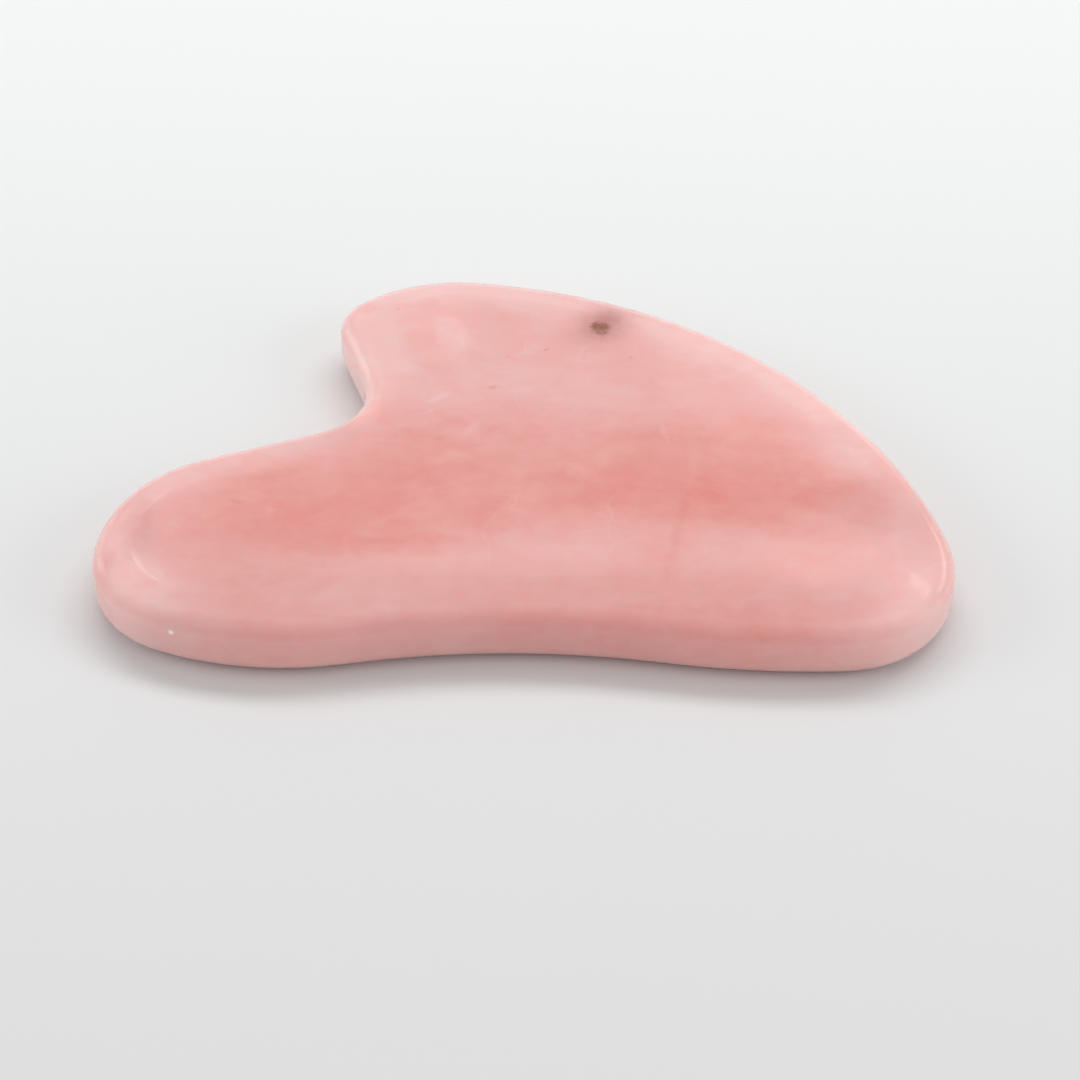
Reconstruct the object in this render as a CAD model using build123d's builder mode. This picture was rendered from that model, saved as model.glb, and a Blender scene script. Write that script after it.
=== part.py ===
"""Gua sha scraper: one plate of polished rose quartz, cut to a lopsided heart.

The plate lies flat on one of its two broad faces. Seen from above, its long
edge with the shallow waist is at the front (-Y), its small lobe is at the left
(-X), the large lobe runs from the crown at the back down to the right nose, and
the notch between the two lobes opens to the left.

Millimetres and degrees. +Z is up, and the origin is under the middle of the
plate's bounding box, on the surface that the plate rests on.
"""

import os

from build123d import *

# ---------------------------------------------------------------- section ----
plate_thickness = 6.8  # from one broad face to the other
bevel_width = 3.4  # each broad face falls away gently over this margin
bevel_drop = 0.5  # how far it has fallen where the margin meets the rim
rim_rounding = 2.1  # polished round between the margin and the upright rim
face_rounding = 12.0  # very soft round between the flat middle and the margin

# ---------------------------------------------------------------- outline ----
# The outline is a smooth chain of arcs, followed anticlockwise from the
# leftmost point, where it heads straight down the page (-Y). Each arc is
# (radius, turn). A turn to the left bulges outwards, and a turn to the right,
# which is negative, curves in.
leftmost_point = (-41.05, -15.28)
start_heading = -90.0

left_nose_lower = (10.0, 68.0)
left_belly = (32.0, 33.5)
waist = (83.0, -20.5)
right_belly = (81.0, 12.5)
right_nose = (11.0, 101.0)
back_sweep = (53.0, 70.5)
crown = (16.0, 47.5)
lobe_tip = (4.3, 67.5)
# here the throat, a straight run, leads down into the notch
notch = (6.5, -89.0)
# here the shoulder, a straight run, leads out of the notch to the left nose
left_nose_upper_radius = 14.5

arcs_to_throat = [
    left_nose_lower,
    left_belly,
    waist,
    right_belly,
    right_nose,
    back_sweep,
    crown,
    lobe_tip,
]


def direction(heading):
    """Unit vector that points along a heading in degrees."""
    return Vector(1, 0, 0).rotate(Axis.Z, heading)


def carry(heading, arc):
    """How far one arc carries the outline, when it sets out on a heading."""
    radius, turn = arc
    side = 90.0 if turn > 0 else -90.0
    to_centre = direction(heading + side) * radius
    to_end = direction(heading + turn + side) * -radius
    return to_centre + to_end


def lay_arc(start, heading, arc):
    """Draw one arc and return where it ends, and the heading that it ends on."""
    radius, turn = arc
    drawn = JernArc(start=start, tangent=direction(heading), radius=radius, arc_size=turn)
    return drawn @ 1, heading + turn


def lay_straight(start, heading, length):
    """Draw one straight run and return where it ends."""
    drawn = PolarLine(start, length, angle=heading)
    return drawn @ 1


# The turns of a closed outline add up to one full circle, so the last arc
# takes the turn that is left.
throat_heading = start_heading + sum(turn for radius, turn in arcs_to_throat)
shoulder_heading = throat_heading + notch[1]
left_nose_upper = (left_nose_upper_radius, start_heading + 360.0 - shoulder_heading)

# The two straight runs are as long as it takes for the chain to come back to
# the point that it started from.
arcs_travel = Vector(0, 0, 0)
running_heading = start_heading
for outline_arc in arcs_to_throat + [notch, left_nose_upper]:
    arcs_travel += carry(running_heading, outline_arc)
    running_heading += outline_arc[1]
closing_gap = arcs_travel * -1
along_throat = direction(throat_heading)
along_shoulder = direction(shoulder_heading)
spread = along_throat.cross(along_shoulder).Z
throat_length = closing_gap.cross(along_shoulder).Z / spread
shoulder_length = along_throat.cross(closing_gap).Z / spread

# ------------------------------------------------------------------ plate ----
with BuildPart() as scraper_body:
    with BuildSketch():
        with BuildLine():
            point = Vector(*leftmost_point)
            course = start_heading
            for outline_arc in arcs_to_throat:
                point, course = lay_arc(point, course, outline_arc)
            point = lay_straight(point, course, throat_length)
            point, course = lay_arc(point, course, notch)
            point = lay_straight(point, course, shoulder_length)
            lay_arc(point, course, left_nose_upper)
        make_face()
    extrude(amount=plate_thickness)

    # Both broad faces fall away towards the rim.
    for broad_face in (faces().sort_by(Axis.Z)[-1], faces().sort_by(Axis.Z)[0]):
        chamfer(
            broad_face.edges(),
            length=bevel_width,
            length2=bevel_drop,
            reference=broad_face,
        )

    # The upright rim is rounded into both margins.
    rim_heights = (bevel_drop, plate_thickness - bevel_drop)
    rim_edges = [
        edge
        for height in rim_heights
        for edge in edges().filter_by_position(Axis.Z, height - 0.01, height + 0.01)
    ]
    fillet(rim_edges, rim_rounding)

    # The flat middle of each broad face melts into its margin.
    for broad_face in (faces().sort_by(Axis.Z)[-1], faces().sort_by(Axis.Z)[0]):
        fillet(broad_face.edges(), face_rounding)

scraper_body.part.label = "scraper_body"

# ----------------------------------------------------------------- export ----
os.makedirs("parts", exist_ok=True)
export_step(scraper_body.part, "parts/scraper_body.step")

plate_size = scraper_body.part.bounding_box().size
print(f"plate {plate_size.X:.2f} x {plate_size.Y:.2f} x {plate_size.Z:.2f} mm")
print(f"throat {throat_length:.2f} mm, shoulder {shoulder_length:.2f} mm")
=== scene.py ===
"""Looks of the gua sha scraper: a polished rose quartz plate on a pale table.

One closed mesh stands for the CAD node scraper_body. Its outline repeats the
arcs of the CAD model, its section is a softly rounded rim that melts into two
nearly flat faces, and its stone is a procedural material.
"""

import math
from collections import namedtuple

import bpy
import numpy as np
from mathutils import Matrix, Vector, noise
from mathutils.geometry import delaunay_2d_cdt


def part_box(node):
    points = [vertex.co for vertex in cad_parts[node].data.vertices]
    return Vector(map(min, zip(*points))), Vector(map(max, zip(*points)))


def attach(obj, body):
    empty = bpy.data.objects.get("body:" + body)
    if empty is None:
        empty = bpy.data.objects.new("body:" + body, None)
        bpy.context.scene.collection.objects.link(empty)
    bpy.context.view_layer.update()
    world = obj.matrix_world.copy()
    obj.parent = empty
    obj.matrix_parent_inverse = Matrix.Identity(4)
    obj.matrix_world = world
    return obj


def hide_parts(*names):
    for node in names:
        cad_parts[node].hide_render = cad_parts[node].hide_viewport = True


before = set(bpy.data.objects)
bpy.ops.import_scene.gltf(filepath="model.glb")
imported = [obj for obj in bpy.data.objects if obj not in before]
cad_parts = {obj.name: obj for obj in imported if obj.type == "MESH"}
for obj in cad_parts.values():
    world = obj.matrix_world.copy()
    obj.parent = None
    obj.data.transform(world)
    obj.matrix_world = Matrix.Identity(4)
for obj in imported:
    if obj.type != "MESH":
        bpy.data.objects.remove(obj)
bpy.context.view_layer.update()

MM = 0.001  # plans below are in millimetres, Blender is in metres

# ---------------------------------------------------------------- outline ----
# The same chain of arcs as the CAD plate: (radius, turn), anticlockwise from
# the leftmost point. A positive turn bulges outwards, a negative one curves in.
LEFTMOST_POINT = (-41.05, -15.28)
START_HEADING = -90.0
LEFT_NOSE_LOWER = (10.0, 68.0)
LEFT_BELLY = (32.0, 33.5)
WAIST = (83.0, -20.5)
RIGHT_BELLY = (81.0, 12.5)
RIGHT_NOSE = (11.0, 101.0)
BACK_SWEEP = (53.0, 70.5)
CROWN = (16.0, 47.5)
LOBE_TIP = (4.3, 67.5)
NOTCH = (6.5, -89.0)
LEFT_NOSE_UPPER_RADIUS = 14.5
ARCS_TO_THROAT = (
    LEFT_NOSE_LOWER,
    LEFT_BELLY,
    WAIST,
    RIGHT_BELLY,
    RIGHT_NOSE,
    BACK_SWEEP,
    CROWN,
    LOBE_TIP,
)

# ---------------------------------------------------------------- section ----
CAD_LOW, CAD_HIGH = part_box("scraper_body")
PLATE_THICKNESS = (CAD_HIGH.z - CAD_LOW.z) / MM
SIDE_LEAN = 6.0  # degrees that the upright side leans in where the roll starts
ROLL_RADIUS = 2.1  # the hard polished round between side and margin
MARGIN_SLOPE = 9.5  # degrees that the margin falls away, next to the roll
MARGIN_WIDTH = 3.4  # how far in the broad face keeps falling away
STEADY_SHARE = 0.35  # this share of the margin has that steady slope, then it eases off
RING_INSET = 4.0  # the outline's rings stop here, and a fill takes over
SIDE_STEPS = 6  # rings of points on the half side, on the roll and on the margin
ROLL_STEPS = 14
MARGIN_STEPS = 7

FINE_STEP = 0.1  # spacing of points while the outline is eased
EASING = 0.9  # how far the polish spreads each change of radius in the outline
EASING_CUTOFF = 3  # the blur ends at this many times EASING
OUTLINE_STEP = 0.45  # spacing of points along the rim
FILL_STEP = 0.9  # spacing of points in the middle of each broad face
FILL_CLEARANCE = 0.6  # fill points stay this share of FILL_STEP off their border
FILL_ROUNDS = 25  # rounds that even out the heights of the fill
TRIANGLE_TOLERANCE = 1e-6  # points nearer than this would be one point
INSIDE_ONLY = 1  # the output type that keeps only triangles inside the border
RIPPLE_HEIGHT = 0.02  # hand polishing leaves the faces a little uneven
RIPPLE_LENGTH = 11.0

# Small dents in the upper face. The first is the shallow hollow over the brown
# inclusion, and the others are pinholes.
Pit = namedtuple("Pit", "centre radius depth")

PITS = (
    Pit((7.15, 17.75), 1.10, 0.05),
    Pit((1.70, 14.20), 0.32, 0.12),
    Pit((10.20, 13.00), 0.28, 0.10),
    Pit((-3.50, 8.10), 0.36, 0.12),
    Pit((-2.20, 12.80), 0.26, 0.10),
    Pit((-27.80, -9.40), 0.34, 0.10),
    Pit((-13.60, 20.40), 0.26, 0.08),
)
PIT_RINGS = (0.35, 0.7, 1.0, 1.35)  # rings of points, as shares of a pit's radius
PIT_SPOKES = 12  # points on each ring
PIT_CLEARANCE = 0.25  # the fill stays this share of the radius off the last ring


def direction(heading):
    """Unit vector in the plan that points along a heading in degrees."""
    return np.array([math.cos(math.radians(heading)), math.sin(math.radians(heading))])


def arc_points(start, heading, arc, step):
    """Evenly spaced points on one arc, without its start, and its last heading."""
    radius, turn = arc
    side = 90.0 if turn > 0 else -90.0
    centre = start + direction(heading + side) * radius
    count = max(2, round(math.radians(abs(turn)) * radius / step))
    headings = [heading + turn * (i + 1) / count for i in range(count)]
    points = [centre - direction(h + side) * radius for h in headings]
    return points, heading + turn


def straight_points(start, heading, length, step):
    """Evenly spaced points on one straight run, without its start."""
    count = max(2, round(length / step))
    return [start + direction(heading) * length * (i + 1) / count for i in range(count)]


def cross(a, b):
    """How far b turns to the left of a, times both their lengths."""
    return a[0] * b[1] - a[1] * b[0]


def raw_outline(step):
    """Points of the whole outline. The two straight runs close the chain."""
    origin = np.zeros(2)
    throat_heading = START_HEADING + sum(turn for radius, turn in ARCS_TO_THROAT)
    shoulder_heading = throat_heading + NOTCH[1]
    last_turn = START_HEADING + 360.0 - shoulder_heading
    left_nose_upper = (LEFT_NOSE_UPPER_RADIUS, last_turn)

    travel = np.zeros(2)
    heading = START_HEADING
    for arc in ARCS_TO_THROAT + (NOTCH, left_nose_upper):
        points, heading = arc_points(origin, heading, arc, step)
        travel = travel + points[-1]
    along_throat = direction(throat_heading)
    along_shoulder = direction(shoulder_heading)
    spread = cross(along_throat, along_shoulder)
    throat_length = cross(-travel, along_shoulder) / spread
    shoulder_length = cross(along_throat, -travel) / spread

    outline = [np.array(LEFTMOST_POINT)]
    heading = START_HEADING
    for arc in ARCS_TO_THROAT:
        points, heading = arc_points(outline[-1], heading, arc, step)
        outline += points
    outline += straight_points(outline[-1], heading, throat_length, step)
    points, heading = arc_points(outline[-1], heading, NOTCH, step)
    outline += points
    outline += straight_points(outline[-1], heading, shoulder_length, step)
    points, heading = arc_points(outline[-1], heading, left_nose_upper, step)
    outline += points
    return np.array(outline[:-1])


def resample(points, step):
    """The same closed line with evenly spaced points."""
    closed = np.vstack([points, points[:1]])
    run = np.r_[0, np.cumsum(np.linalg.norm(np.diff(closed, axis=0), axis=1))]
    count = round(run[-1] / step)
    at = np.linspace(0, run[-1], count, endpoint=False)
    return np.c_[np.interp(at, run, closed[:, 0]), np.interp(at, run, closed[:, 1])]


def smoothed(points, reach, step):
    """The closed line after a Gaussian blur along its length."""
    half = round(EASING_CUTOFF * reach / step)
    offsets = np.arange(-half, half + 1)
    weights = np.exp(-0.5 * (offsets * step / reach) ** 2)
    weights /= weights.sum()
    rolled = [w * np.roll(points, -k, axis=0) for k, w in zip(offsets, weights)]
    return np.sum(rolled, axis=0)


def outward_normals(points):
    """Unit normals of an anticlockwise closed line."""
    along = np.roll(points, -1, axis=0) - np.roll(points, 1, axis=0)
    normals = np.c_[along[:, 1], -along[:, 0]]
    return normals / np.linalg.norm(normals, axis=1)[:, None]


def margin_drop(inset):
    """How far a broad face has fallen at this distance from the rim."""
    roll_inset = ROLL_RADIUS * (1 - math.sin(math.radians(MARGIN_SLOPE)))
    across = np.clip((inset - roll_inset) / MARGIN_WIDTH, 0, 1)
    steady = np.clip(STEADY_SHARE - across, 0, 1)
    eased = np.clip((across - STEADY_SHARE) / (1 - STEADY_SHARE), 0, 1)
    # The slope fades as one minus a smooth step, and this is the drop still to come.
    easing = (1 - STEADY_SHARE) * (0.5 - eased + eased**3 - eased**4 / 2)
    return math.tan(math.radians(MARGIN_SLOPE)) * MARGIN_WIDTH * (steady + easing)


def section():
    """(inset, height over the middle plane) from mid-rim to the last ring."""
    lean = math.radians(SIDE_LEAN)
    slope = math.radians(MARGIN_SLOPE)
    half = PLATE_THICKNESS / 2
    margin_start = ROLL_RADIUS * (1 - math.sin(slope))
    roll_top = half - margin_drop(margin_start)
    centre_height = roll_top - ROLL_RADIUS * math.cos(slope)
    roll_foot = centre_height + ROLL_RADIUS * math.sin(lean)
    side_inset = ROLL_RADIUS * (1 - math.cos(lean))
    rings = []
    for i in range(SIDE_STEPS):
        t = i / SIDE_STEPS
        rings.append((side_inset * t * t, roll_foot * t))
    for i in range(ROLL_STEPS + 1):
        tilt = lean + (math.pi / 2 - slope - lean) * i / ROLL_STEPS
        inset = ROLL_RADIUS * (1 - math.cos(tilt))
        rings.append((inset, centre_height + ROLL_RADIUS * math.sin(tilt)))
    for i in range(1, MARGIN_STEPS + 1):
        inset = margin_start + (RING_INSET - margin_start) * i / MARGIN_STEPS
        rings.append((inset, half - float(margin_drop(inset))))
    return rings


def distance_to(line, points):
    """Distance from each point to a closed line of close-set points."""
    gaps = np.linalg.norm(points[:, None, :] - line[None, :, :], axis=2)
    return gaps.min(axis=1)


def inside(line, points):
    """True for each point that lies inside a closed line."""
    a = line
    b = np.roll(line, -1, axis=0)
    x = points[:, 0][:, None]
    y = points[:, 1][:, None]
    straddles = (a[:, 1] > y) != (b[:, 1] > y)
    rise = b[:, 1] - a[:, 1]
    rise = np.where(rise == 0, 1, rise)  # a level run never straddles a point
    reach = a[:, 0] + (y - a[:, 1]) * (b[:, 0] - a[:, 0]) / rise
    return (straddles & (x < reach)).sum(axis=1) % 2 == 1


def fill_grid(border):
    """A honeycomb of points inside the border, with rings of points at each pit."""
    low = border.min(axis=0)
    high = border.max(axis=0)
    row_gap = FILL_STEP * math.sqrt(3) / 2
    rows = int((high[1] - low[1]) / row_gap) + 1
    columns = int((high[0] - low[0]) / FILL_STEP) + 2
    grid = [
        (low[0] + (column + 0.5 * (row % 2)) * FILL_STEP, low[1] + row * row_gap)
        for row in range(rows)
        for column in range(columns)
    ]
    grid = np.array(grid)
    grid = grid[inside(border, grid)]
    grid = grid[distance_to(border, grid) > FILL_CLEARANCE * FILL_STEP]
    spokes = [direction(360 * i / PIT_SPOKES) for i in range(PIT_SPOKES)]
    for pit in PITS:
        away = np.linalg.norm(grid - pit.centre, axis=1)
        grid = grid[away > (PIT_RINGS[-1] + PIT_CLEARANCE) * pit.radius]
        rings = [spoke * pit.radius * share for share in PIT_RINGS for spoke in spokes]
        grid = np.vstack([grid, [pit.centre], np.array(rings) + pit.centre])
    return grid


def pit_depth(flat):
    """How deep the pits reach at each point of the upper face."""
    total = np.zeros(len(flat))
    for pit in PITS:
        away = np.linalg.norm(flat - pit.centre, axis=1)
        share = np.clip(away / pit.radius, 0, 1)
        total += pit.depth * (1 - share**2) ** 2
    return total


def fill_triangles(border, grid):
    """Triangles over border and grid. Border points come first, then the grid."""
    flat = np.vstack([border, grid])
    ring = list(range(len(border)))
    places = [Vector(place) for place in flat]
    result = delaunay_2d_cdt(places, [], [ring], INSIDE_ONLY, TRIANGLE_TOLERANCE)
    _, _, faces, origins, _, _ = result
    sources = [origin[0] for origin in origins]
    return [[sources[corner] for corner in face] for face in faces]


def relaxed_heights(heights, fixed_count, triangles):
    """Heights evened out between neighbours, with the first fixed_count left alone."""
    edges = set()
    for a, b, c in triangles:
        edges |= {(a, b), (b, a), (b, c), (c, b), (c, a), (a, c)}
    start, end = np.array(sorted(edges)).T
    degree = np.bincount(start, minlength=len(heights))
    free = np.arange(len(heights)) >= fixed_count
    for _ in range(FILL_ROUNDS):
        mean = np.bincount(start, heights[end], len(heights)) / np.maximum(degree, 1)
        heights = np.where(free, mean, heights)
    return heights


def fill_heights(outline, border, grid, triangles):
    """(insets, heights over the middle plane) of the grid, without the pits."""
    fixed = len(border)
    insets = distance_to(outline, np.vstack([border, grid]))
    insets[:fixed] = RING_INSET
    heights = PLATE_THICKNESS / 2 - margin_drop(insets)
    heights = relaxed_heights(heights, fixed, triangles)
    return insets[fixed:], heights[fixed:]


def ring_levels():
    """(inset, height) of each ring, from the upper face round to the lower one."""
    middle = PLATE_THICKNESS / 2
    rings = section()
    upper = [(inset, middle + height) for inset, height in reversed(rings)]
    lower = [(inset, middle - height) for inset, height in rings[1:]]
    return upper + lower


def ring_faces(levels, count):
    """Quads between each ring of points and the next, with count points on each."""
    faces = []
    for level in range(levels - 1):
        top = level * count
        below = top + count
        for i in range(count):
            j = (i + 1) % count
            faces.append((top + i, below + i, below + j, top + j))
    return faces


def build_plate():
    """The plate as one closed mesh, with each point's inset kept as rim_inset."""
    fine = resample(raw_outline(FINE_STEP), FINE_STEP)
    outline = resample(smoothed(fine, EASING, FINE_STEP), OUTLINE_STEP)
    normals = outward_normals(outline)
    count = len(outline)
    levels = ring_levels()
    points = []
    insets = []
    for inset, height in levels:
        ring = outline - normals * inset
        points += [(x, y, height) for x, y in ring]
        insets += [inset] * count
    faces = ring_faces(len(levels), count)

    # The fills of the two nearly flat faces share one grid and one set of triangles.
    border = outline - normals * RING_INSET
    grid = fill_grid(border)
    triangles = fill_triangles(border, grid)
    grid_insets, grid_heights = fill_heights(outline, border, grid, triangles)
    for side, ring_start in ((1, 0), (-1, (len(levels) - 1) * count)):
        grid_start = len(points)
        heights = PLATE_THICKNESS / 2 + side * grid_heights
        if side > 0:
            heights = heights - pit_depth(grid)
        points += [(x, y, z) for (x, y), z in zip(grid, heights)]
        insets += list(grid_insets)
        corner = list(range(ring_start, ring_start + count))
        corner += list(range(grid_start, grid_start + len(grid)))
        for triangle in triangles:
            chosen = [corner[k] for k in triangle]
            faces.append(chosen if side > 0 else chosen[::-1])

    mesh = bpy.data.meshes.new("scraper_stone")
    mesh.from_pydata([Vector(point) * MM for point in points], [], faces)
    mesh.validate()
    mesh.shade_smooth()
    attribute = mesh.attributes.new("rim_inset", "FLOAT", "POINT")
    attribute.data.foreach_set("value", insets)
    add_ripple(mesh)
    stone = bpy.data.objects.new("scraper_stone", mesh)
    bpy.context.collection.objects.link(stone)
    return stone


def add_ripple(mesh):
    """Make the polished surface a little uneven, and never higher than before."""
    mesh.update()
    moves = []
    for vertex, normal in zip(mesh.vertices, mesh.vertex_normals):
        at = vertex.co / (RIPPLE_LENGTH * MM)
        swell = 0.5 + 0.5 * noise.noise(at)
        moves.append(normal.vector * (-RIPPLE_HEIGHT * MM * swell))
    for vertex, move in zip(mesh.vertices, moves):
        vertex.co += move
    mesh.update()


# --------------------------------------------------------------- material ----
# One number paints the stone: its paleness, from deep pink at 0 to pale pink at 1.
# The zones of the bands and the painted light on the rim add to it or take from it. A zone is an
# ellipse on the upper face. Its centre and half size are in millimetres, its tilt is in
# degrees, and its edge fades by softness times its half size to each side.
Zone = namedtuple("Zone", "name amount centre half_size tilt softness")

MEAN_PALENESS = 0.66
PALENESS_COLOURS = (
    (0.00, (230, 150, 142)),
    (0.46, (236, 173, 167)),
    (0.74, (239, 186, 181)),
    (1.00, (241, 199, 196)),
)

BAND_ZONES = (
    Zone("band_left", -0.30, (-17.0, -10.0), (14.0, 6.3), 5, 0.30),
    Zone("band_left_top", -0.20, (-25.5, -4.6), (4.6, 1.9), 18, 0.50),
    Zone("band_left_end", 0.09, (-28.5, -11.0), (3.5, 2.5), 0, 0.60),
    Zone("tongue", -0.18, (-10.5, -15.4), (6.5, 1.5), 2, 0.45),
    Zone("band_middle", -0.22, (-3.0, -5.5), (13.0, 7.6), 8, 0.35),
    Zone("core_middle", -0.10, (-4.0, -4.0), (2.6, 1.6), 0, 0.60),
    Zone("band_top_left", -0.18, (-13.0, -1.0), (7.5, 2.4), 10, 0.50),
    Zone("band_right", -0.30, (15.5, -5.2), (15.5, 7.2), -3, 0.22),
    Zone("band_right_foot", -0.16, (24.5, -12.6), (5.5, 1.6), -4, 0.50),
    Zone("band_end", -0.17, (31.0, -8.6), (5.0, 3.0), -4, 0.40),
    Zone("core_left", -0.14, (-19.5, -11.8), (8.0, 3.3), 4, 0.60),
    Zone("core_right_a", -0.18, (12.5, -6.2), (5.5, 3.6), 0, 0.50),
    Zone("core_right_b", -0.15, (21.0, -7.0), (6.5, 3.8), -4, 0.50),
    Zone("core_right_low", -0.10, (18.0, -9.6), (4.0, 2.0), 0, 0.60),
    Zone("core_right_foot", -0.09, (24.0, -12.4), (1.6, 1.4), 0, 0.60),
    Zone("core_right_vein", -0.09, (15.6, -13.2), (1.2, 1.8), 0, 0.60),
    Zone("core_gap_a", 0.08, (8.0, -5.0), (4.0, 2.0), 12, 0.60),
    Zone("core_gap_b", 0.08, (16.0, -7.6), (1.2, 1.4), 0, 0.60),
    Zone("core_left_gap", 0.09, (-12.2, -6.0), (2.0, 1.4), 0, 0.60),
    Zone("gap", 0.07, (-1.0, -5.0), (5.5, 4.0), 0, 0.60),
    Zone("gap_right", 0.20, (5.0, -2.2), (4.6, 3.0), 0, 0.60),
    Zone("gap_left", 0.16, (-8.0, -9.4), (3.4, 3.6), 0, 0.60),
    Zone("tongue_gap", 0.10, (-7.5, -12.6), (2.4, 1.5), 0, 0.60),
    Zone("left_nose_pink", -0.11, (-31.0, -13.4), (5.0, 4.0), 0, 0.60),
    Zone("left_nose_pale", 0.13, (-37.0, -9.8), (1.8, 1.6), 0, 0.60),
    Zone("left_low_pink", -0.12, (-25.0, -20.5), (7.0, 5.0), 0, 0.70),
    Zone("left_rim_pale", 0.10, (-32.5, -25.0), (7.0, 2.2), -14, 0.60),
    Zone("left_edge_pink", -0.20, (-39.9, -17.8), (1.2, 3.2), 4, 0.60),
    Zone("left_edge_foot", 0.06, (-36.5, -16.4), (1.4, 1.6), 0, 0.60),
    # Painted shade: a dark line along the crease where the left nose's margin meets the broad
    # face.
    Zone("left_line", -0.20, (-36.7, -13.4), (1.1, 3.4), -4, 0.60),
    Zone("lower_pale_right", 0.04, (27.0, -16.5), (10.0, 2.8), -6, 0.60),
    Zone("lower_pale_middle", 0.12, (3.0, -16.5), (12.0, 2.6), 2, 0.60),
    Zone("lower_middle_pink", -0.09, (5.0, -14.5), (8.0, 5.0), 0, 0.70),
    Zone("lower_pink", -0.10, (13.5, -16.0), (2.6, 2.6), 0, 0.60),
    Zone("lower_pink_right", -0.09, (21.0, -18.6), (3.2, 1.5), 0, 0.60),
    Zone("near_margin", -0.10, (12.0, -22.5), (20.0, 3.6), -1, 0.50),
    Zone("near_left_streak", 0.09, (-14.5, -20.0), (2.4, 1.6), 0, 0.60),
    Zone("near_left_pale", 0.13, (-13.0, -22.6), (9.5, 1.8), 4, 0.60),
    Zone("right_nose_pale", 0.04, (34.5, -18.0), (4.0, 4.0), 0, 0.60),
    Zone("right_nose_low_pale", 0.11, (30.5, -21.5), (2.6, 1.8), 0, 0.60),
    # Painted light: the roll of the right nose is made paler where light falls on it.
    Zone("right_nose_rim_pale", 0.24, (35.5, -25.5), (6.0, 2.6), 24, 0.60),
    Zone("right_nose_grey", 0.07, (36.8, -11.8), (1.8, 3.6), 6, 0.50),
    Zone("far_right_pale", 0.16, (31.3, -3.0), (3.4, 2.2), -30, 0.50),
    Zone("far_right_pink", -0.09, (33.0, -6.0), (2.0, 1.0), 0, 0.60),
    Zone("right_edge_pale", 0.10, (36.2, -8.6), (1.3, 2.4), 10, 0.60),
    Zone("far_right_margin_pale", 0.11, (25.0, 9.0), (4.0, 1.5), -45, 0.60),
    Zone("upper_pale", 0.08, (4.0, 10.0), (26.0, 8.0), -20, 0.60),
    Zone("upper_step", -0.10, (8.0, 3.0), (24.0, 3.0), -2, 0.70),
    Zone("upper_step_right", -0.14, (20.5, 3.0), (6.5, 1.8), -6, 0.60),
    Zone("upper_step_pale", 0.11, (9.5, 5.3), (4.0, 1.0), 0, 0.60),
    Zone("upper_step_left", 0.12, (-7.6, 5.2), (4.4, 1.8), 0, 0.60),
    Zone("upper_fleck_cloud", 0.14, (-6.5, 0.8), (2.6, 1.2), 0, 0.60),
    Zone("upper_right_pale", 0.12, (15.3, 15.2), (3.6, 3.2), -40, 0.60),
    Zone("upper_middle_pink", -0.08, (6.0, 12.0), (5.0, 5.0), 0, 0.70),
    Zone("upper_middle_pink_left", -0.10, (-3.6, 11.0), (2.4, 1.4), -20, 0.60),
    Zone("crown_pale", 0.32, (-8.6, 24.4), (8.0, 2.4), 6, 0.60),
    Zone("crown_pale_right", 0.22, (-0.4, 21.8), (4.0, 2.0), -8, 0.60),
    Zone("crown_inner_pale", 0.12, (-5.5, 21.8), (3.2, 1.6), 0, 0.60),
    Zone("light_patch", 0.15, (-8.2, 16.8), (1.8, 2.9), 8, 0.26),
    Zone("lobe_pale", 0.10, (-13.6, 14.5), (2.6, 4.0), 14, 0.60),
    Zone("throat_pink", -0.14, (-14.0, 6.0), (1.9, 3.4), -8, 0.60),
    Zone("shoulder_pale", 0.08, (-19.6, 0.6), (3.0, 1.3), 26, 0.60),
    Zone("light_patch_small", 0.04, (-11.2, 19.0), (1.2, 2.0), 0, 0.60),
    Zone("tip_pale", 0.09, (-14.2, 19.8), (1.5, 1.5), 0, 0.60),
    Zone("pink_patch", -0.14, (-11.2, 15.4), (1.5, 2.0), 0, 0.50),
    Zone("cool_patch", 0.06, (2.0, 8.5), (6.0, 3.0), -10, 0.70),
    Zone("side_pink", -0.12, (12.5, -26.0), (16.0, 3.0), 0, 0.15),
    Zone("vein_upper", 0.09, (16.2, -4.6), (0.35, 3.8), -4, 0.80),
    Zone("vein_middle", -0.10, (15.2, -10.0), (0.50, 3.0), -16, 0.80),
    Zone("vein_lower", -0.12, (14.1, -15.4), (0.50, 4.0), -9, 0.80),
)

# Painted light: these take hold only near the rim, which is made paler where light
# comes through the stone's edge and shines back off its polished margins.
PAINTED_RIM_LIGHT_ZONES = (
    Zone("rim_left_nose", 0.30, (-38.0, -20.0), (7.0, 8.0), 0, 0.50),
    Zone("rim_shoulder", 0.26, (-29.0, -3.5), (10.0, 3.5), 22, 0.50),
    Zone("rim_right_nose", 0.18, (39.5, -20.0), (6.0, 7.0), 0, 0.50),
    Zone("rim_far", 0.22, (20.0, 16.0), (28.0, 12.0), -42, 0.40),
    Zone("rim_lobe", 0.26, (-17.0, 14.0), (7.0, 10.0), 0, 0.50),
)
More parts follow.
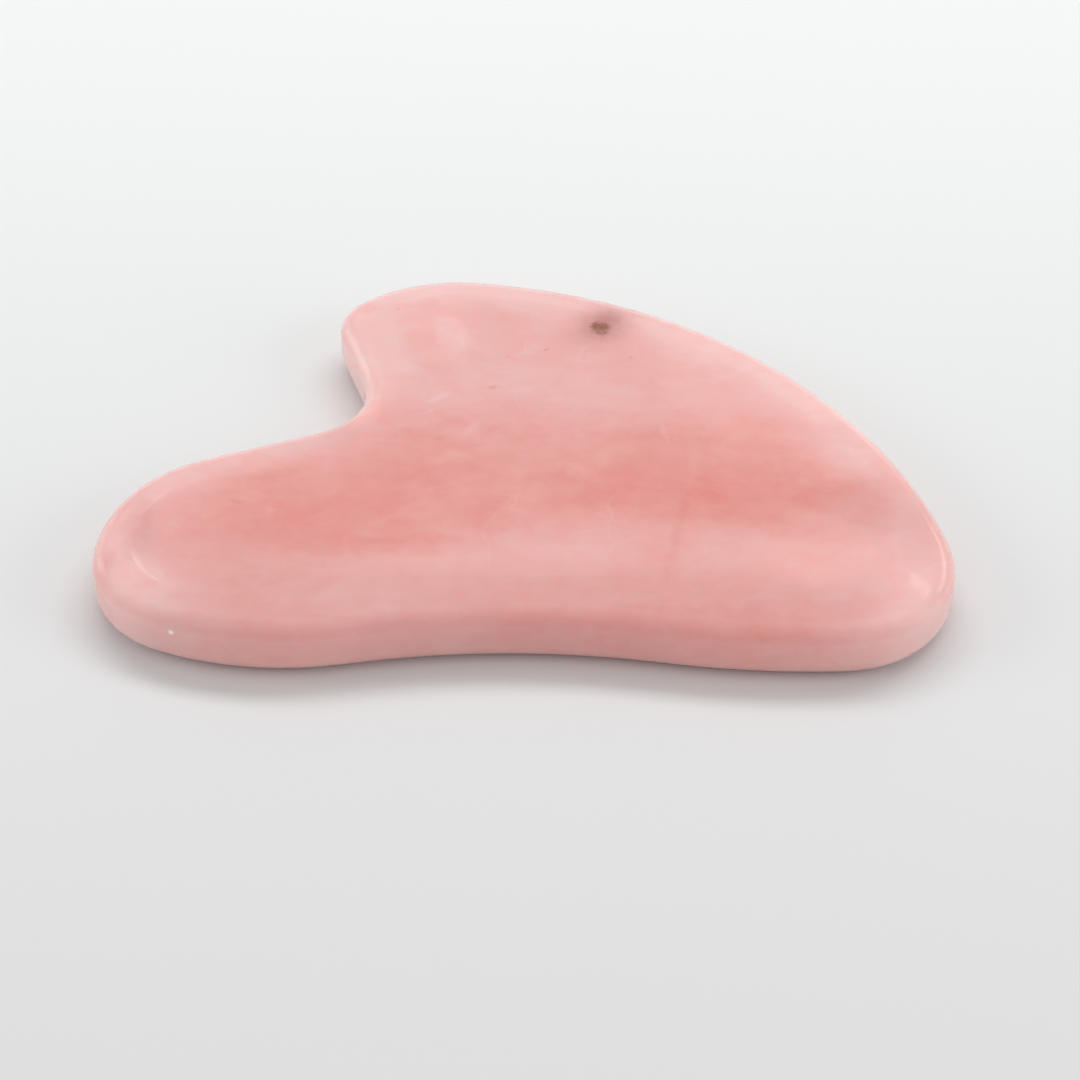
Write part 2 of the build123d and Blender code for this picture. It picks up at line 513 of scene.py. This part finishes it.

# Painted light and shade: the stone is made a little brighter or darker here,
# with no change of tint, where more or less light falls on it, mostly on the rim,
# the noses, the throat and the far edge. The few by the inclusion, the light patch
# and the band ends also brighten or darken patches of the stone's own tone.
PAINTED_LIGHT_ZONES = (
    Zone("near_shade", -0.07, (0.0, -23.5), (42.0, 4.5), 0, 0.50),
    Zone("right_nose_glow", 0.07, (37.5, -23.5), (5.0, 4.0), 30, 0.60),
    Zone("left_nose_glow", 0.04, (-37.5, -22.0), (4.0, 4.0), -30, 0.60),
    Zone("left_rim_shade", -0.03, (-29.5, -26.0), (8.0, 1.5), -10, 0.50),
    Zone("shoulder_shade", -0.07, (-19.6, 0.6), (6.0, 1.8), 26, 0.60),
    Zone("crown_shade", -0.04, (0.0, 24.0), (13.0, 1.3), -8, 0.60),
    Zone("back_glow", 0.12, (33.5, 3.8), (15.0, 1.5), -53, 0.50),
    Zone("left_middle_shade", -0.03, (-26.0, -17.0), (9.0, 3.5), 0, 0.70),
    Zone("right_edge_shade", -0.03, (37.4, -13.4), (1.6, 4.0), 4, 0.50),
    Zone("inclusion_edge_shade", -0.06, (9.6, 20.9), (3.4, 0.9), -20, 0.50),
    Zone("inclusion_foot_shade", -0.04, (5.8, 16.4), (2.4, 1.6), 0, 0.60),
    Zone("left_edge_shade", -0.05, (-39.4, -18.4), (1.2, 2.4), 4, 0.60),
    Zone("throat_glow", 0.13, (-17.2, 8.4), (2.2, 6.5), 8, 0.50),
    Zone("low_right_glow", 0.07, (28.5, -16.5), (6.5, 3.2), -4, 0.60),
    Zone("far_right_glow", 0.05, (22.0, 7.0), (12.0, 6.5), -48, 0.50),
    Zone("light_patch_glow", 0.07, (-9.0, 17.5), (3.5, 4.5), 10, 0.60),
    Zone("left_line_shade", -0.08, (-36.6, -13.0), (1.8, 5.0), 6, 0.60),
    Zone("band_end_shade", -0.05, (34.5, -9.5), (5.0, 3.5), -10, 0.60),
)

# Whitish healed cracks near the upper face: small and thin.
FLECKS = (
    Zone("fleck_a", 0.26, (-8.8, 6.4), (1.2, 0.42), 37, 0.70),
    Zone("fleck_b", 0.22, (-5.5, 1.5), (1.2, 0.42), 60, 0.80),
    Zone("fleck_c", 0.16, (-9.8, 4.2), (0.9, 0.25), 30, 0.70),
    Zone("fleck_d", 0.17, (13.6, 1.2), (0.32, 1.3), 15, 0.70),
    Zone("fleck_e", 0.14, (-24.4, -10.7), (0.5, 0.45), 0, 0.70),
    Zone("fleck_f", 0.14, (-14.5, 11.0), (0.9, 0.25), 50, 0.70),
    Zone("fleck_g", 0.09, (-12.4, -11.2), (3.4, 0.55), 38, 0.90),
    Zone("fleck_h", 0.07, (-8.0, -6.8), (3.0, 0.45), 24, 0.90),
    Zone("fleck_i", 0.14, (-33.2, -13.0), (0.8, 0.25), -50, 0.70),
    Zone("speck_a", -0.24, (-3.5, 8.1), (0.55, 0.24), 8, 0.80),
    Zone("speck_b", -0.14, (-27.8, -9.4), (0.7, 0.30), -20, 0.80),
    Zone("speck_c", -0.12, (-8.6, 0.2), (0.8, 0.30), 30, 0.80),
    Zone("speck_d", -0.25, (1.85, 14.05), (0.34, 0.18), 0, 0.70),
)
FLECK_DEPTH = 1.5

# The brown mineral inclusion under the upper face.
INCLUSION_HALO = Zone("halo", 0.50, (7.6, 18.3), (2.2, 2.6), -20, 0.85)
INCLUSION_SMUDGE = Zone("smudge", 0.40, (8.2, 19.7), (1.2, 1.1), 0, 0.80)
INCLUSION_SHELL = Zone("shell", 0.80, (7.20, 17.70), (0.95, 1.10), 0, 0.40)
INCLUSION_CORES = (
    Zone("core_a", 0.90, (7.15, 18.05), (0.85, 0.48), 8, 0.50),
    Zone("core_b", 0.65, (7.30, 17.25), (0.55, 0.50), 0, 0.60),
)
INCLUSION_DEPTH = 2.2
HALO_COLOUR = (178, 112, 104)
SMUDGE_COLOUR = (190, 122, 122)
SHELL_COLOUR = (184, 130, 112)
CORE_COLOUR = (148, 98, 78)

# A painted glint: a tiny near-white spot in the side of the left nose, painted into the colour
# as a highlight.
PAINTED_GLINT_PLACE = (-32.60, -25.40, 4.55)
PAINTED_GLINT_HALF_SIZE = 0.26
PAINTED_GLINT_SOFTNESS = 0.60
PAINTED_GLINT_COLOUR = (255, 246, 242)

GRAIN_SCALE = 1.9  # the brown core is broken up by a grain this fine
GRAIN_SPAN = (0.28, 0.58)  # the brown starts and is full at these noise values

# The painted light on the rim fades in from the edge over these distances.
RIM_REACH = 8.0  # the paler rim has faded this far in
RIM_FULL = 3.0  # and is at full strength up to here

BAND_DIP = 0.30  # the bands dip into the plate, this far along Y for each mm down
ZONE_DEPTH = 14.0  # how far down a zone of the upper face reaches

# A warp is (swirls in each mm, mm across the whole range of the noise).
STONE_WARPS = ((0.22, 1.8), (0.9, 1.0))
FLECK_WARP = (1.6, 0.9)

CLOUDS = ((0.16, 0.40, 3.0), (0.60, 0.42, 6.0))  # scale, paleness and detail
CLOUD_STRETCH = (0.72, 1.0, 1.0)  # clouds are drawn out along the bands
VEIL_SCALE = 0.16  # cells between cracks in each mm
VEIL_WIDTH = 0.035  # half of a crack's width, as a share of a cell
VEIL_PALENESS = 0.10
VEIL_PATCH_SCALE = 0.12  # veils come and go in patches of this noise
VEIL_PATCH_SPAN = (0.52, 0.66)  # they start and are full at these noise values
ELSEWHERE = (31.0, 17.0, 5.0)  # far enough off that two noises don't line up

POLISH_SCALE = 0.35
LEAST_ROUGHNESS = 0.06
ADDED_ROUGHNESS = 0.10  # where the polish is at its dullest
QUARTZ_IOR = 1.54
SCATTER_REACH = 4.0  # how far light spreads inside the stone
SCATTER_SHARES = (1.0, 0.5, 0.45)  # how far red, green and blue spread, of that


def linear(red, green, blue):
    """A colour given as a screen shows it, from 0 to 255, as linear light."""
    channels = []
    for value in (red, green, blue):
        part = value / 255
        channels.append(part / 12.92 if part <= 0.04045 else ((part + 0.055) / 1.055) ** 2.4)
    return (*channels, 1.0)


class NodeTree:
    """Short calls that add shader nodes and give back their output sockets."""

    def __init__(self, tree):
        self.tree = tree

    def add(self, kind, inputs=(), **settings):
        """A new node. Inputs are (socket, value) pairs, and a value may be a socket."""
        node = self.tree.nodes.new(kind)
        for name, value in settings.items():
            setattr(node, name, value)
        for key, value in inputs:
            self.feed(node.inputs[key], value)
        return node

    def feed(self, socket, value):
        """Link an input to the value where that is a socket, or set it."""
        if isinstance(value, bpy.types.NodeSocket):
            self.tree.links.new(value, socket)
        else:
            socket.default_value = value

    def number(self, operation, a, b):
        """One operation on two numbers."""
        return self.add("ShaderNodeMath", ((0, a), (1, b)), operation=operation).outputs[0]

    def vector(self, operation, a, b):
        """One operation on two vectors."""
        return self.add("ShaderNodeVectorMath", ((0, a), (1, b)), operation=operation).outputs[0]

    def scaled(self, a, factor):
        """A vector or colour times a number."""
        inputs = ((0, a), ("Scale", factor))
        return self.add("ShaderNodeVectorMath", inputs, operation="SCALE").outputs[0]

    def noise(self, position, scale, detail=2.0):
        """A noise node, for its Fac or its Color."""
        inputs = (("Vector", position), ("Scale", scale), ("Detail", detail))
        return self.add("ShaderNodeTexNoise", inputs)

    def warped(self, position, plain, warp):
        """The position, moved by a noise that is read at the plain place."""
        scale, amount = warp
        swirl = self.noise(plain, scale).outputs["Color"]
        swirl = self.vector("SUBTRACT", swirl, (0.5, 0.5, 0.5))
        return self.vector("ADD", position, self.scaled(swirl, amount))

    def smooth_step(self, value, zero_at, one_at):
        """0 at one end, 1 at the other, and a smooth curve between."""
        node = self.add("ShaderNodeMapRange", interpolation_type="SMOOTHSTEP")
        self.feed(node.inputs["Value"], value)
        if zero_at < one_at:
            limits = (zero_at, one_at, 0.0, 1.0)
        else:
            limits = (one_at, zero_at, 1.0, 0.0)
        for key, limit in zip(("From Min", "From Max", "To Min", "To Max"), limits):
            node.inputs[key].default_value = limit
        return node.outputs["Result"]

    def spot(self, position, centre, half_size, tilt, softness):
        """A soft ellipsoid: 1 inside it and 0 outside."""
        # The ball is 1 in its middle and falls to 0 at its reach, so the step is
        # done at 1 - softness half sizes from the middle.
        reach = 1.0 + softness
        place = self.add("ShaderNodeMapping", (("Vector", position),), vector_type="TEXTURE")
        place.inputs["Location"].default_value = centre
        place.inputs["Rotation"].default_value = (0.0, 0.0, math.radians(tilt))
        place.inputs["Scale"].default_value = [size * reach for size in half_size]
        inputs = (("Vector", place.outputs[0]),)
        ball = self.add("ShaderNodeTexGradient", inputs, gradient_type="SPHERICAL")
        return self.smooth_step(ball.outputs["Fac"], 0.0, 2.0 * softness / reach)

    def mix(self, factor, a, b):
        """Colour a where the factor is 0, and colour b where it is 1."""
        # The node has sockets for each kind of value: 6, 7 and 2 are for colours.
        node = self.add("ShaderNodeMix", data_type="RGBA")
        self.feed(node.inputs["Factor"], factor)
        self.feed(node.inputs[6], a)
        self.feed(node.inputs[7], b)
        return node.outputs[2]


def stone_position(nodes):
    """The plain place in millimetres, and one moved so that bands dip and swirl."""
    place = nodes.add("ShaderNodeTexCoord").outputs["Object"]
    plain = nodes.scaled(place, 1 / MM)
    depth = nodes.add("ShaderNodeSeparateXYZ", ((0, plain),)).outputs["Z"]
    below = nodes.number("SUBTRACT", depth, PLATE_THICKNESS)
    shift = nodes.number("MULTIPLY", below, BAND_DIP)
    dip = nodes.add("ShaderNodeCombineXYZ", (("Y", shift),)).outputs[0]
    position = nodes.vector("ADD", plain, dip)
    for warp in STONE_WARPS:
        position = nodes.warped(position, plain, warp)
    return plain, position


def zone_mask(nodes, position, zone, depth):
    """A zone's amount inside it and 0 outside, down to this depth."""
    centre = (*zone.centre, PLATE_THICKNESS)
    half_size = (*zone.half_size, depth)
    mask = nodes.spot(position, centre, half_size, zone.tilt, zone.softness)
    inputs = ((0, mask), (1, zone.amount))
    return nodes.add("ShaderNodeMath", inputs, operation="MULTIPLY", label=zone.name).outputs[0]


def zone_sum(nodes, position, zones, start, depth=ZONE_DEPTH):
    """The start value with every zone's amount added."""
    total = start
    for zone in zones:
        total = nodes.number("ADD", total, zone_mask(nodes, position, zone, depth))
    return total


def stone_paleness(nodes, position, fine_position):
    """The one number that paints the stone."""
    paleness = zone_sum(nodes, position, BAND_ZONES, MEAN_PALENESS)
    paleness = zone_sum(nodes, fine_position, FLECKS, paleness, FLECK_DEPTH)

    # Painted light on the rim: the rim zones make the stone paler near its edge.
    inset = nodes.add("ShaderNodeAttribute", attribute_name="rim_inset").outputs["Fac"]
    near_rim = nodes.smooth_step(inset, RIM_REACH, RIM_FULL)
    painted_rim_light = zone_sum(nodes, position, PAINTED_RIM_LIGHT_ZONES, 0.0)
    paleness = nodes.number("ADD", paleness, nodes.number("MULTIPLY", near_rim, painted_rim_light))

    drawn_out = nodes.vector("MULTIPLY", position, CLOUD_STRETCH)
    for scale, amount, detail in CLOUDS:
        cloud = nodes.noise(drawn_out, scale, detail).outputs["Fac"]
        cloud = nodes.number("MULTIPLY", nodes.number("SUBTRACT", cloud, 0.5), amount)
        paleness = nodes.number("ADD", paleness, cloud)

    # Veils: faint healed cracks that come and go through the whole stone.
    cracks = nodes.add("ShaderNodeTexVoronoi", feature="DISTANCE_TO_EDGE")
    nodes.feed(cracks.inputs["Vector"], position)
    cracks.inputs["Scale"].default_value = VEIL_SCALE
    line = nodes.smooth_step(cracks.outputs["Distance"], VEIL_WIDTH, 0.0)
    elsewhere = nodes.vector("ADD", fine_position, ELSEWHERE)
    where = nodes.noise(elsewhere, VEIL_PATCH_SCALE).outputs["Fac"]
    where = nodes.smooth_step(where, *VEIL_PATCH_SPAN)
    veil = nodes.number("MULTIPLY", line, where)
    veil = nodes.number("MULTIPLY", veil, VEIL_PALENESS)
    return nodes.number("ADD", paleness, veil)


def pink_ramp(nodes, paleness):
    """The pink that belongs to each paleness."""
    ramp = nodes.add("ShaderNodeValToRGB", (("Fac", paleness),))
    elements = ramp.color_ramp.elements
    while len(elements) < len(PALENESS_COLOURS):
        elements.new(1.0)
    for element, (at, colour) in zip(elements, PALENESS_COLOURS):
        element.position = at
        element.color = linear(*colour)
    return ramp.outputs["Color"]


def with_inclusion(nodes, colour, position):
    """The stone's colour with the brown inclusion and its stain mixed in."""
    layers = [
        (INCLUSION_HALO, HALO_COLOUR),
        (INCLUSION_SMUDGE, SMUDGE_COLOUR),
        (INCLUSION_SHELL, SHELL_COLOUR),
    ]
    layers += [(core, CORE_COLOUR) for core in INCLUSION_CORES]
    grain = nodes.noise(position, GRAIN_SCALE, detail=3.0).outputs["Fac"]
    grain = nodes.smooth_step(grain, *GRAIN_SPAN)
    for zone, layer_colour in layers:
        mask = zone_mask(nodes, position, zone, INCLUSION_DEPTH)
        if zone in INCLUSION_CORES:
            mask = nodes.number("MULTIPLY", mask, grain)
        colour = nodes.mix(mask, colour, linear(*layer_colour))
    return colour


def with_painted_glint(nodes, colour, position):
    """The stone's colour with the painted glint, a tiny near-white spot in its side."""
    half_size = (PAINTED_GLINT_HALF_SIZE,) * 3
    mask = nodes.spot(position, PAINTED_GLINT_PLACE, half_size, 0.0, PAINTED_GLINT_SOFTNESS)
    return nodes.mix(mask, colour, linear(*PAINTED_GLINT_COLOUR))


def rose_quartz():
    """The stone's material: light spreads inside it, under an uneven polish."""
    material = bpy.data.materials.new("rose_quartz")
    material.use_nodes = True
    nodes = NodeTree(material.node_tree)
    shader = material.node_tree.nodes["Principled BSDF"]

    plain, position = stone_position(nodes)
    fine_position = nodes.warped(plain, plain, FLECK_WARP)
    colour = pink_ramp(nodes, stone_paleness(nodes, position, fine_position))
    # Painted light and shade: the colour is made brighter or darker zone by zone.
    painted_light = zone_sum(nodes, position, PAINTED_LIGHT_ZONES, 1.0)
    colour = nodes.scaled(colour, painted_light)
    colour = with_inclusion(nodes, colour, fine_position)
    # The painted highlight in the side of the left nose.
    colour = with_painted_glint(nodes, colour, plain)
    nodes.feed(shader.inputs["Base Color"], colour)

    polish = nodes.noise(plain, POLISH_SCALE, detail=3.0).outputs["Fac"]
    dullness = nodes.number("MULTIPLY", polish, ADDED_ROUGHNESS)
    nodes.feed(shader.inputs["Roughness"], nodes.number("ADD", dullness, LEAST_ROUGHNESS))
    shader.inputs["IOR"].default_value = QUARTZ_IOR
    shader.inputs["Subsurface Weight"].default_value = 1.0
    shader.inputs["Subsurface Radius"].default_value = SCATTER_SHARES
    shader.inputs["Subsurface Scale"].default_value = SCATTER_REACH * MM
    return material


# ------------------------------------------------------------------ stage ----
FLOOR_HALF = 3.0  # metres from the middle to each side
# Painted light: the table is dimmer at the front and lighter at the back, where more light falls
# on it.
FLOOR_FRONT = -0.10  # the table's two shades run into each other between these
FLOOR_BACK = 0.12
FLOOR_DIM_FRONT_COLOUR = (0.755, 0.755, 0.757, 1.0)
FLOOR_LIT_BACK_COLOUR = (0.90, 0.925, 0.92, 1.0)
FLOOR_ROUGHNESS = 0.6
FLOOR_SHINE = 0.2


def pale_floor():
    """A plain table, with painted light that makes it a little lighter and cooler towards the
    back.
    """
    signs = ((-1, -1), (1, -1), (1, 1), (-1, 1))
    corners = [(x * FLOOR_HALF, y * FLOOR_HALF, 0.0) for x, y in signs]
    mesh = bpy.data.meshes.new("floor")
    mesh.from_pydata(corners, [], [(0, 1, 2, 3)])
    floor = bpy.data.objects.new("floor", mesh)
    bpy.context.collection.objects.link(floor)
    material = bpy.data.materials.new("pale_table")
    material.use_nodes = True
    nodes = NodeTree(material.node_tree)
    shader = material.node_tree.nodes["Principled BSDF"]
    place = nodes.add("ShaderNodeTexCoord").outputs["Object"]
    back = nodes.add("ShaderNodeSeparateXYZ", ((0, place),)).outputs["Y"]
    # Painted light, from the dim front of the table to its lit back.
    share = nodes.smooth_step(back, FLOOR_FRONT, FLOOR_BACK)
    colour = nodes.mix(share, FLOOR_DIM_FRONT_COLOUR, FLOOR_LIT_BACK_COLOUR)
    nodes.feed(shader.inputs["Base Color"], colour)
    shader.inputs["Roughness"].default_value = FLOOR_ROUGHNESS
    shader.inputs["Specular IOR Level"].default_value = FLOOR_SHINE
    mesh.materials.append(material)


# Soft lights shade the stone and the table: places and sizes are in metres.
SoftLight = namedtuple("SoftLight", "name place width height watts")

SOFT_LIGHTS = (
    SoftLight("key", (0.10, 0.48, 0.88), 1.3, 0.3, 5.15),
    SoftLight("fill_left", (-0.88, -0.12, 0.40), 0.6, 0.5, 1.95),
    SoftLight("fill_right", (0.85, -0.25, 0.40), 0.6, 0.5, 1.75),
)

# Panels only show as reflections in the polish. The bearing is in degrees to the
# right of straight behind the plate, and the elevation in degrees above the table.
# The radiance is how bright the panel looks.
Panel = namedtuple("Panel", "name bearing elevation width height radiance")

PANELS = (
    Panel("gloss_left", -21, 47, 0.05, 0.14, 2.4),
    Panel("gloss_left_low", -21, 32, 0.15, 0.18, 0.6),
    Panel("gloss_right", 42, 48, 0.46, 0.05, 2.1),
    Panel("gloss_right_low", 50, 25, 0.72, 0.20, 1.3),
    Panel("gloss_right_front", 105, 14, 0.50, 0.16, 1.2),
    Panel("gloss_back", 6, 10.5, 0.73, 0.30, 0.60),
    Panel("gloss_back_high", 8, 18, 0.65, 0.40, 0.26),
    Panel("gloss_back_left", -36, 5.5, 0.76, 0.22, 0.50),
    Panel("gloss_throat", -60, 12, 0.20, 0.50, 1.30),
)
PANEL_DISTANCE = 1.0
WORLD_STRENGTH = 0.50


def area_light(name, place, width, height, watts):
    """An area light that faces the plate."""
    data = bpy.data.lights.new(name, "AREA")
    data.shape = "RECTANGLE"
    data.size = width
    data.size_y = height
    data.energy = watts
    light = bpy.data.objects.new(name, data)
    light.location = place
    light.rotation_euler = Vector(place).to_track_quat("Z", "Y").to_euler()
    bpy.context.collection.objects.link(light)
    return light


def reflected_panel(panel):
    """One panel, at its bearing and elevation, with the power for its radiance."""
    bearing = math.radians(panel.bearing)
    elevation = math.radians(panel.elevation)
    level = math.cos(elevation)
    away = Vector((math.sin(bearing) * level, math.cos(bearing) * level, math.sin(elevation)))
    watts = math.pi * panel.width * panel.height * panel.radiance
    place = away * PANEL_DISTANCE
    light = area_light(panel.name, place, panel.width, panel.height, watts)
    light.visible_diffuse = False


def studio_light():
    """Soft lights, panels for the polish and an even pale surround."""
    world = bpy.data.worlds.new("studio")
    world.use_nodes = True
    background = world.node_tree.nodes["Background"]
    background.inputs["Color"].default_value = (1, 1, 1, 1)
    background.inputs["Strength"].default_value = WORLD_STRENGTH
    bpy.context.scene.world = world
    for soft_light in SOFT_LIGHTS:
        light = area_light(*soft_light)
        light.visible_glossy = False
    for panel in PANELS:
        reflected_panel(panel)
    bpy.context.scene.view_settings.view_transform = "Standard"


# ----------------------------------------------------------------- camera ----
CAMERA_ELEVATION = 42.4  # degrees above the table
CAMERA_TURN = 0.9  # degrees that the camera stands to the right of the front
CAMERA_DISTANCE = 0.320  # metres
CAMERA_TARGET = (0.001445, -0.00706, 0.0)
CAMERA_LENS = 109.0  # millimetres, and so is the next
SENSOR_WIDTH = 36.0


def photo_camera():
    """A long-lens camera in front of the plate, looking down at it."""
    elevation = math.radians(CAMERA_ELEVATION)
    turn = math.radians(CAMERA_TURN)
    level = math.cos(elevation)
    away = Vector((math.sin(turn) * level, -math.cos(turn) * level, math.sin(elevation)))
    data = bpy.data.cameras.new("camera")
    data.lens = CAMERA_LENS
    data.sensor_width = SENSOR_WIDTH
    camera = bpy.data.objects.new("camera", data)
    camera.location = Vector(CAMERA_TARGET) + away * CAMERA_DISTANCE
    camera.rotation_euler = away.to_track_quat("Z", "Y").to_euler()
    bpy.context.collection.objects.link(camera)
    bpy.context.scene.camera = camera


# ------------------------------------------------------------------ build ----
plate = build_plate()
plate.data.materials.append(rose_quartz())
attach(plate, "root")
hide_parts("scraper_body")
pale_floor()
studio_light()
photo_camera()
